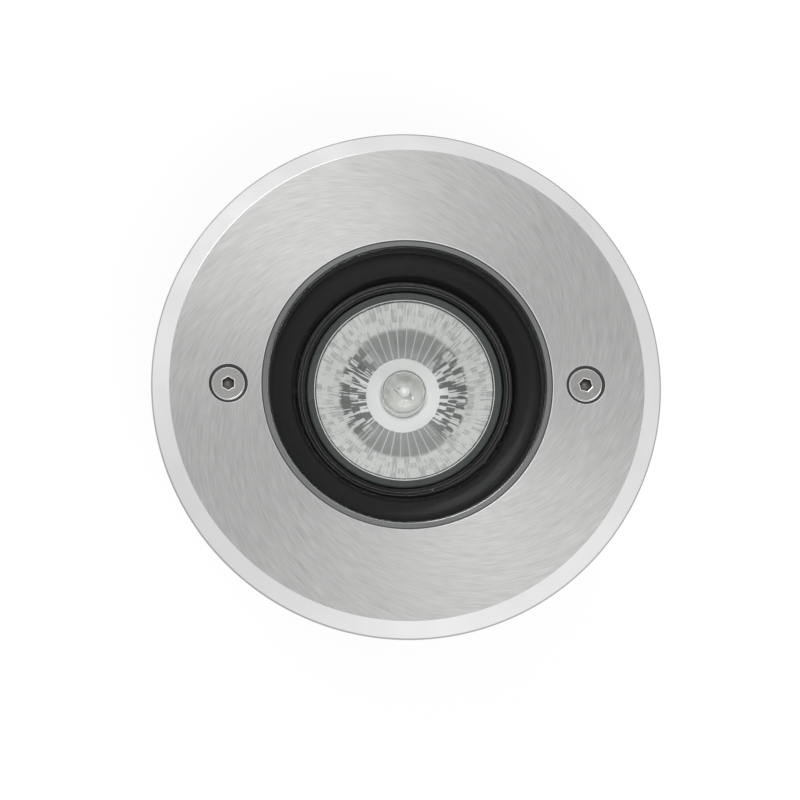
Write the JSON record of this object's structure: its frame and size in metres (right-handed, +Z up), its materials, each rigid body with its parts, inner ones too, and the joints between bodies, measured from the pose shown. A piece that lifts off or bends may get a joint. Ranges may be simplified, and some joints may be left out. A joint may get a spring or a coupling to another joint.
{
  "type": "in ground well light",
  "caption": "Round recessed ground uplight: steel trim ring, stepped glass, black baffle and a tilting reflector lamp in a sealed housing that drops into a buried sleeve.",
  "frame": {"origin": "centre of the installation sleeve's foot, on the plane it stands on", "axes": "+Z up, out of the ground and along the light's axis; +X through the two trim screws; +Y towards the top of the reference view"},
  "size_m": [0.13, 0.13, 0.12],
  "materials": {
    "steel_trim": "circumferentially brushed face, polished bevel",
    "steel_screw": "satin",
    "steel_sheet": "satin zinc plated",
    "nylon": "natural",
    "glass_clear": "toughened, polished",
    "silicone": "matt",
    "casting": "black powder coat",
    "black_plastic": "fine texture",
    "baffle_black": "satin black",
    "ceramic": "fired steatite",
    "brass": "bright",
    "gland_brass": "nickel plated brass",
    "reflector": "mirror coated moulded glass",
    "quartz": "clear",
    "tungsten": "drawn wire",
    "tin": "tinned"
  },
  "bodies": {
    "sleeve": {"installation_sleeve": "black_plastic"},
    "housing": {"housing_body": "casting", "baffle_dish": "baffle_black", "terminal_block": "ceramic", "terminal_screws": "steel_sheet", "earth_screw": "brass", "earth_tag": "tin", "gland_body": "gland_brass", "gland_lock_nut": "gland_brass", "gland_washer": "silicone", "cable_seal": "silicone"},
    "gland_cap_nut": {"gland_cap": "gland_brass"},
    "lens": {"lens_glass": "glass_clear", "lens_gasket": "silicone"},
    "trim": {"trim_ring": "steel_trim", "screw_washers": "nylon"},
    "left_screw": {"screw_left": "steel_screw"},
    "right_screw": {"screw_right": "steel_screw"},
    "gimbal": {"gimbal_ring": "baffle_black", "pivot_screws": "steel_screw", "lamp_bracket": "steel_sheet", "lampholder": "ceramic", "holder_contacts": "brass", "holder_screws": "steel_screw"},
    "lamp": {"lamp_reflector": "reflector", "lamp_cover": "glass_clear", "lamp_base": "ceramic", "lamp_capsule": "quartz", "lamp_filament": "tungsten", "lamp_pins": "tin"}
  },
  "joints": [
    {"name": "luminaire_lift", "type": "slide", "parent": "sleeve", "child": "housing", "axis": [0, 0, 1], "range_m": [0, 0.12]},
    {"name": "glass_lift", "type": "slide", "parent": "housing", "child": "lens", "axis": [0, 0, 1], "range_m": [0, 0.05]},
    {"name": "trim_lift", "type": "slide", "parent": "lens", "child": "trim", "axis": [0, 0, 1], "range_m": [0, 0.04]},
    {"name": "left_screw_turn", "type": "hinge", "parent": "trim", "child": "left_screw", "pos_m": [-0.0455, 0, 0.12], "axis": [0, 0, 1], "continuous": true},
    {"name": "right_screw_turn", "type": "hinge", "parent": "trim", "child": "right_screw", "pos_m": [0.0455, 0, 0.12], "axis": [0, 0, 1], "continuous": true},
    {"name": "gimbal_tilt", "type": "hinge", "parent": "housing", "child": "gimbal", "pos_m": [0, 0, 0.1066], "axis": [0.866, -0.5, 0], "range_deg": [-15.3, 1.7]},
    {"name": "lamp_twist", "type": "hinge", "parent": "gimbal", "child": "lamp", "pos_m": [0, 0, 0.1066], "axis": [-0.0592, -0.1025, 0.993], "range_deg": [0, 30]},
    {"name": "gland_nut_turn", "type": "hinge", "parent": "housing", "child": "gland_cap_nut", "pos_m": [0, 0, 0.012], "axis": [0, 0, 1], "continuous": true}
  ]
}
